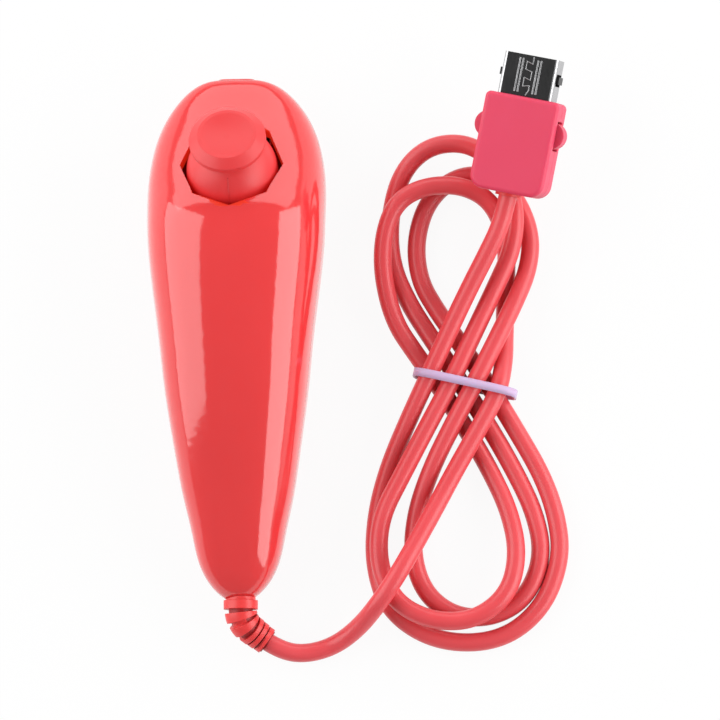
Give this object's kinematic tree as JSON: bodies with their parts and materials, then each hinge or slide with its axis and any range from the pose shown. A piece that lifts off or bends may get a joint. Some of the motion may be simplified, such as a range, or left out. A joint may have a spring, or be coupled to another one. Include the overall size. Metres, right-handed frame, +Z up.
{
  "type": "motion controller wand",
  "caption": "Hand-held motion controller wand with a thumb stick, two front buttons and a tied hank of cord with a latching plug.",
  "frame": {"origin": "centre of the wand's own bounding box in plan, on the flat of the belly that it lies on; the cord, its tie, its boot and the plug are left out", "axes": "+Y along the wand from the cord's tail to the head with the stick, +Z up out of the stick's side, +X to the right, towards the tied hank"},
  "size_m": [0.0912, 0.1314, 0.0369],
  "materials": {
    "red_shell": "glossy translucent red-pink",
    "red_button": "glossy red-pink",
    "stick_cap": "soft satin red-pink",
    "pink_cover": "soft matte pink-red",
    "cord_sleeve": "smooth satin red vinyl",
    "boot": "satin red-pink rubber",
    "tie_band": "milky translucent lilac",
    "dark_metal": "pressed steel, darkened",
    "steel": "plain steel",
    "contact": "gold-plated",
    "white_nylon": "natural nylon",
    "dark_plastic": "black plastic",
    "board_green": "green circuit board",
    "chip_black": "matt black moulding",
    "wire_white": "coloured wire sleeves",
    "ceramic": "tan ceramic"
  },
  "bodies": {
    "wand": {"upper_shell": "red_shell", "lower_shell": "red_shell", "joystick_housing": "dark_plastic", "tilt_sensor_fore": "dark_plastic", "tilt_sensor_side": "dark_plastic", "centring_plate": "white_nylon", "centring_spring": "steel", "main_board": "board_green", "board_screws": "steel", "motion_chip": "chip_black", "controller_chip": "chip_black", "board_capacitors": "ceramic", "cable_header": "white_nylon", "trigger_pin": "steel", "button_board": "board_green", "button_switches": "dark_plastic", "switch_plungers": "white_nylon", "shell_screws": "steel", "strain_relief": "boot", "cord_inside": "cord_sleeve", "cord_clamp": "white_nylon", "clamp_screws": "steel", "lead_wires": "wire_white", "cord_lead": "cord_sleeve", "cord_hank": "cord_sleeve", "cord_tail": "cord_sleeve", "cord_tie": "tie_band", "plug_front_cover": "pink_cover", "plug_rear_cover": "pink_cover", "plug_neck": "boot", "plug_cord_end": "cord_sleeve", "connector_shell": "dark_metal", "connector_core": "dark_plastic", "contact_pins": "contact", "latch_pins": "steel", "latch_springs": "steel"},
    "tilt_ring": {"gimbal_ring": "white_nylon", "gimbal_pin": "steel"},
    "stick": {"thumb_stick": "stick_cap", "stick_lever": "white_nylon"},
    "bail": {"slotted_bail": "white_nylon"},
    "front_key": {"front_button": "red_button"},
    "trigger_key": {"trigger": "red_button"},
    "latch_arm_left": {"latch_left": "pink_cover"},
    "latch_arm_right": {"latch_right": "pink_cover"}
  },
  "joints": [
    {"name": "tilt_fore_aft", "type": "hinge", "parent": "wand", "child": "tilt_ring", "pos_m": [0, 0.03525, 0.022], "axis": [1, 0, 0], "range_deg": [-18, 18], "stiffness_Nm_per_rad": 0.01},
    {"name": "tilt_side", "type": "hinge", "parent": "tilt_ring", "child": "stick", "pos_m": [0, 0.03525, 0.022], "axis": [0, 0.8988, -0.4384], "range_deg": [-18, 18], "stiffness_Nm_per_rad": 0.01},
    {"name": "bail_turn", "type": "hinge", "parent": "wand", "child": "bail", "pos_m": [0, 0.03525, 0.022], "axis": [0, 0.8988, -0.4384], "range_deg": [-18, 18]},
    {"name": "front_key_press", "type": "slide", "parent": "wand", "child": "front_key", "axis": [0, -0.9063, 0.4226], "range_m": [0, 0.0011], "stiffness_N_per_m": 300},
    {"name": "trigger_pull", "type": "hinge", "parent": "wand", "child": "trigger_key", "pos_m": [0, 0.05173, 0.01161], "axis": [-1, 0, 0], "range_deg": [0, 9], "stiffness_Nm_per_rad": 0.02},
    {"name": "latch_squeeze_left", "type": "hinge", "parent": "wand", "child": "latch_arm_left", "pos_m": [0.05418, 0.03474, 0.01468], "axis": [0.1599, 0.1246, -0.9792], "range_deg": [0, 2.6], "stiffness_Nm_per_rad": 0.05},
    {"name": "latch_squeeze_right", "type": "hinge", "parent": "wand", "child": "latch_arm_right", "pos_m": [0.06509, 0.03218, 0.01614], "axis": [-0.1599, -0.1246, 0.9792], "range_deg": [0, 2.6], "stiffness_Nm_per_rad": 0.05}
  ],
  "couplings": [
    {"joint": "bail_turn", "follows": "tilt_side", "ratio": 1}
  ]
}
